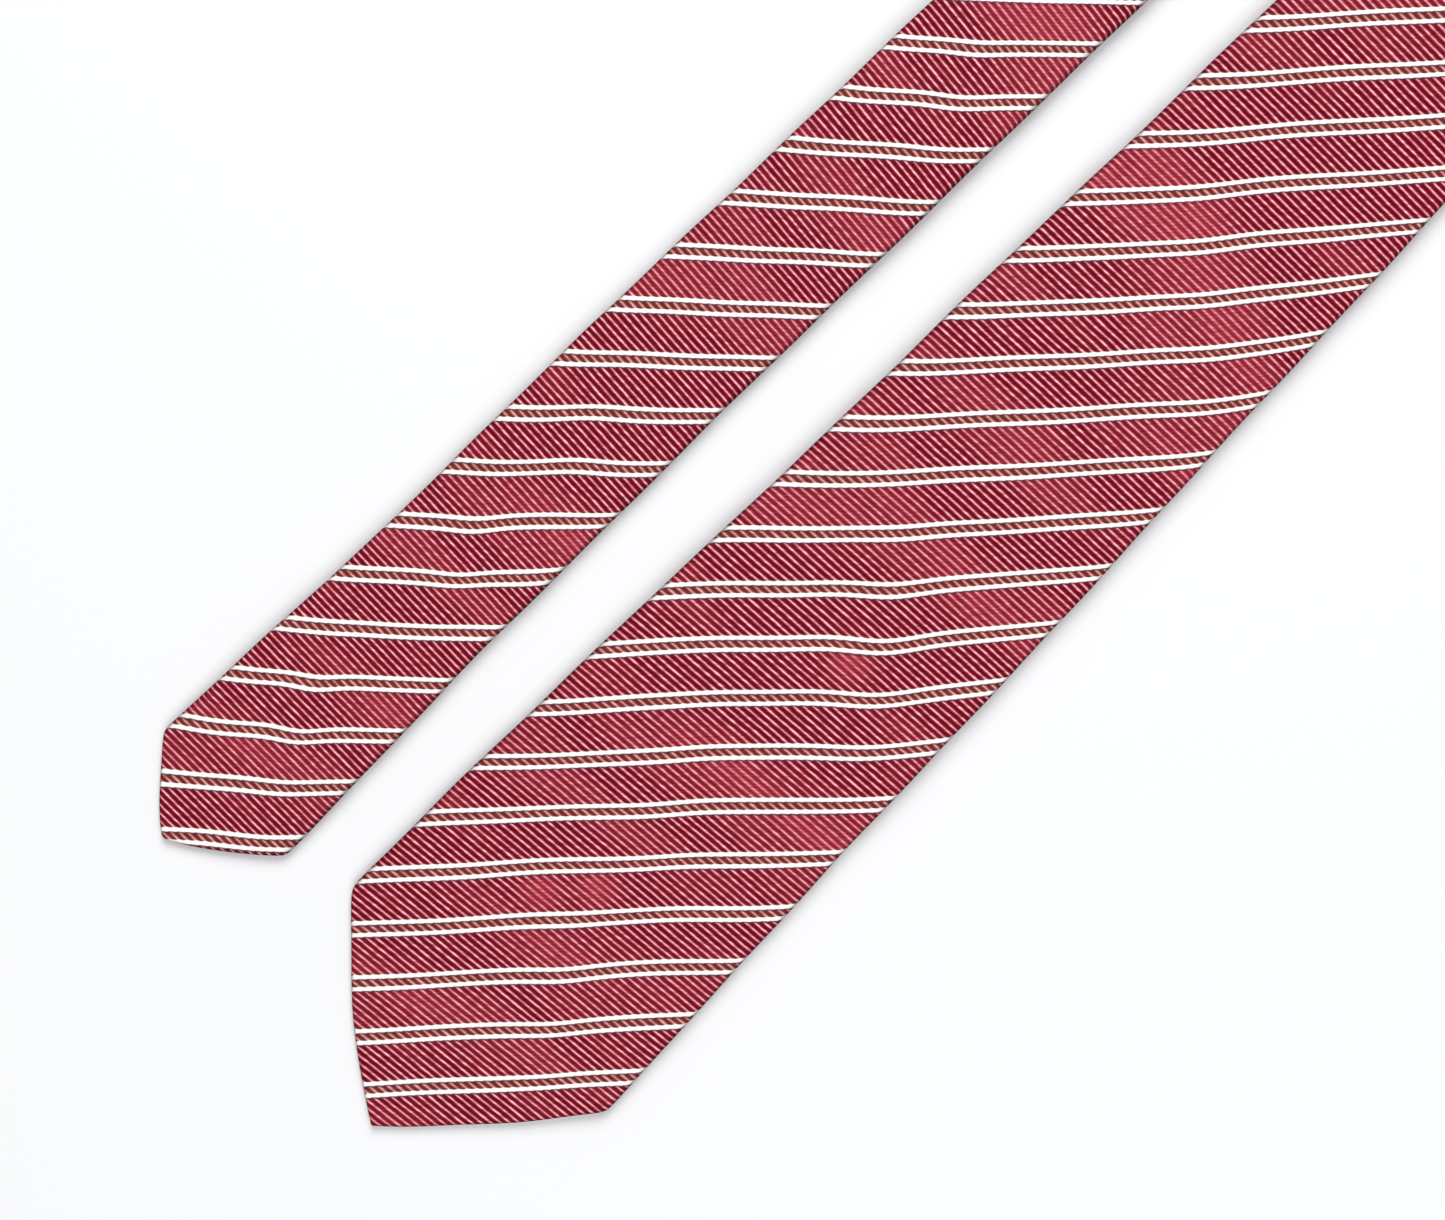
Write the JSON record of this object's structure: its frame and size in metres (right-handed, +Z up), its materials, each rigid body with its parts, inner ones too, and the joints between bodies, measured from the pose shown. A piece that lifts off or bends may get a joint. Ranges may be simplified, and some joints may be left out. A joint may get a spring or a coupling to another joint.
{
  "type": "necktie",
  "caption": "Striped silk necktie laid doubled: pointed blade and tail, folded neck band, interlining, tippings, keeper loop; both ends fold over.",
  "frame": {"origin": "middle of the box around the doubled tie, on the surface that it lies on", "axes": "+Z up through the front face, +Y along the doubled tie from the tips to the folded neck, +X from the tail towards the blade"},
  "size_m": [0.1546, 0.731, 0.0103],
  "materials": {
    "silk_twill": "ribbed silk twill, wine red with paired pale stripes, soft sheen",
    "wool_interlining": "brushed wool canvas, matt",
    "tipping_lining": "smooth woven lining, satin",
    "sewing_thread": "twisted silk thread",
    "label_satin": "plain woven satin, no lettering",
    "care_satin": "plain printed-ribbon satin, no lettering"
  },
  "bodies": {
    "tie_upper": {"blade_shell_upper": "silk_twill", "neck_shell": "silk_twill", "tail_shell_upper": "silk_twill", "interlining_blade_upper": "wool_interlining", "interlining_tail_upper": "wool_interlining", "interlining_zigzag": "sewing_thread", "blade_join_seam": "sewing_thread", "tail_join_seam": "sewing_thread", "slip_stitch_upper": "sewing_thread"},
    "blade_end": {"blade_shell_end": "silk_twill", "interlining_blade_end": "wool_interlining", "blade_tipping": "tipping_lining", "blade_tipping_seam": "sewing_thread", "slip_stitch_blade_end": "sewing_thread", "blade_bar_tack": "sewing_thread", "keeper_end_left": "silk_twill", "keeper_end_right": "silk_twill", "keeper_tack_left": "sewing_thread", "keeper_tack_right": "sewing_thread", "label": "label_satin", "label_stitch_left": "sewing_thread", "label_stitch_right": "sewing_thread", "care_label": "care_satin", "care_label_stitch": "sewing_thread"},
    "keeper": {"keeper_band": "silk_twill"},
    "tail_end": {"tail_shell_end": "silk_twill", "interlining_tail_end": "wool_interlining", "tail_tipping": "tipping_lining", "tail_tipping_seam": "sewing_thread", "slip_stitch_tail_end": "sewing_thread", "tail_bar_tack": "sewing_thread"}
  },
  "joints": [
    {"name": "blade_fold", "type": "hinge", "parent": "tie_upper", "child": "blade_end", "pos_m": [0.02949, -0.04091, 0.00605], "axis": [-0.9999, -0.01, 0], "range_deg": [0, 179.5]},
    {"name": "tail_fold", "type": "hinge", "parent": "tie_upper", "child": "tail_end", "pos_m": [-0.04966, -0.04089, 0.00605], "axis": [-0.9999, 0.0149, 0], "range_deg": [0, 179.5]},
    {"name": "keeper_lift", "type": "slide", "parent": "blade_end", "child": "keeper", "axis": [0, 0, -1], "range_m": [0, 0.008]}
  ]
}
